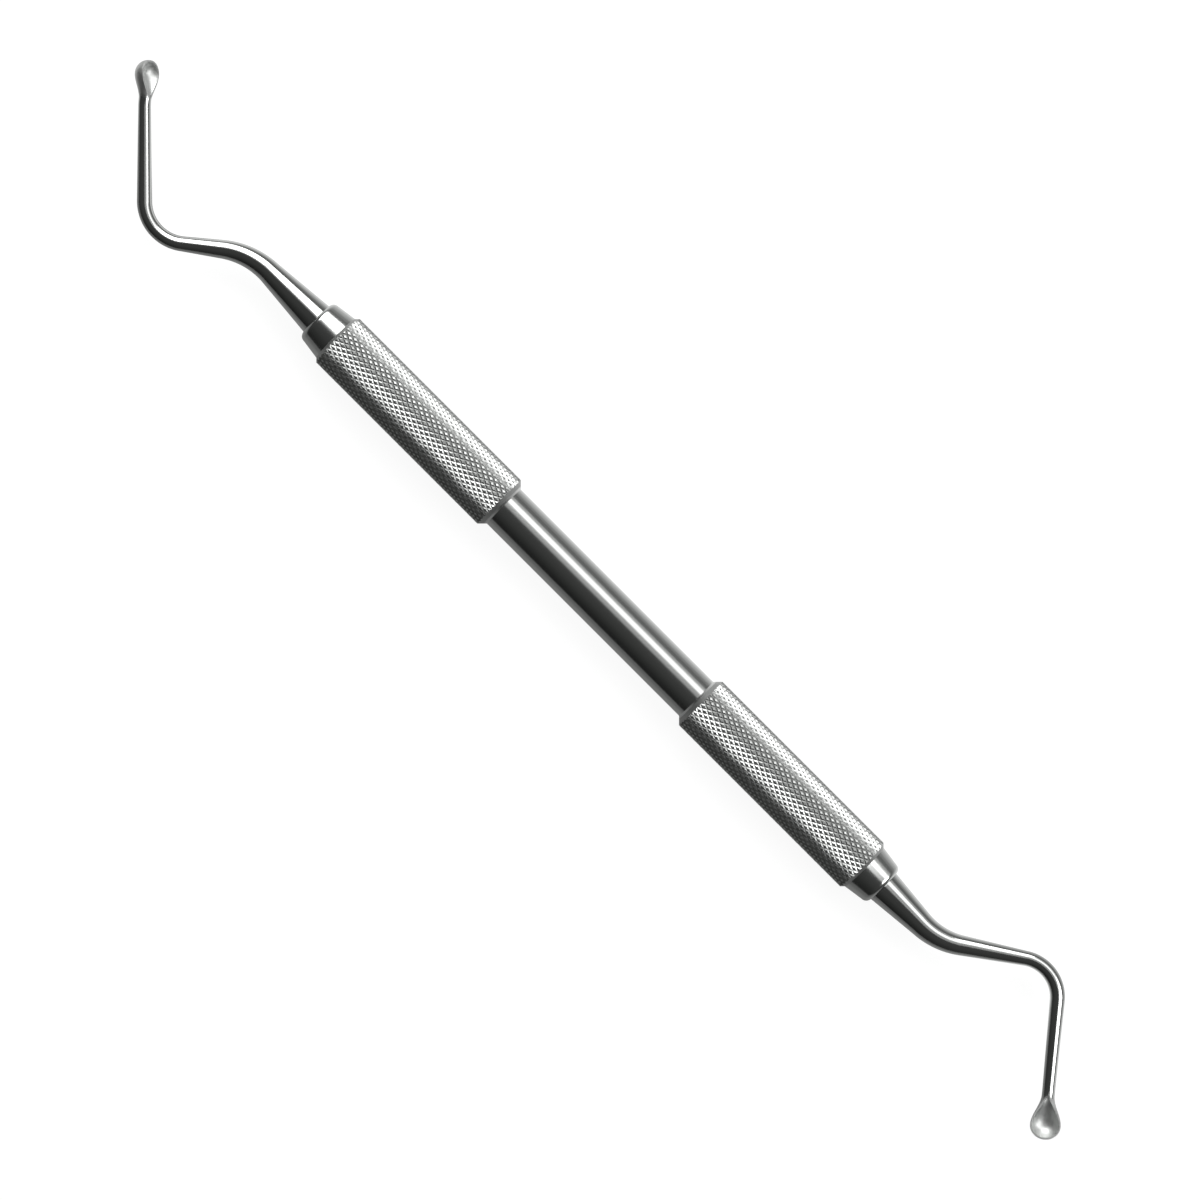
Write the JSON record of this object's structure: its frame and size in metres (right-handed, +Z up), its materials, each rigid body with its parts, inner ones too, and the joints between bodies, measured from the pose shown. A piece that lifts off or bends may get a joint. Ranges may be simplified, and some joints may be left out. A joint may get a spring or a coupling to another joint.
{
  "type": "bone curette",
  "caption": "Double-ended bone curette with a knurled steel handle and a bent, tapered shank at each end that carries a small scooped spoon.",
  "frame": {"origin": "on the surface that the instrument lies on, under the middle of the handle's axis", "axes": "+X along the handle towards end B, +Y across it in the plane of the bends, +Z up from the surface"},
  "size_m": [0.1754, 0.017, 0.0077],
  "materials": {
    "handle_steel": "satin-polished stainless steel, knurled on the grips",
    "working_end_steel": "polished stainless steel with fine grinding marks in the bowls"
  },
  "bodies": {
    "root": {"handle": "handle_steel", "working_end_a": "working_end_steel", "working_end_b": "working_end_steel"}
  },
  "joints": []
}
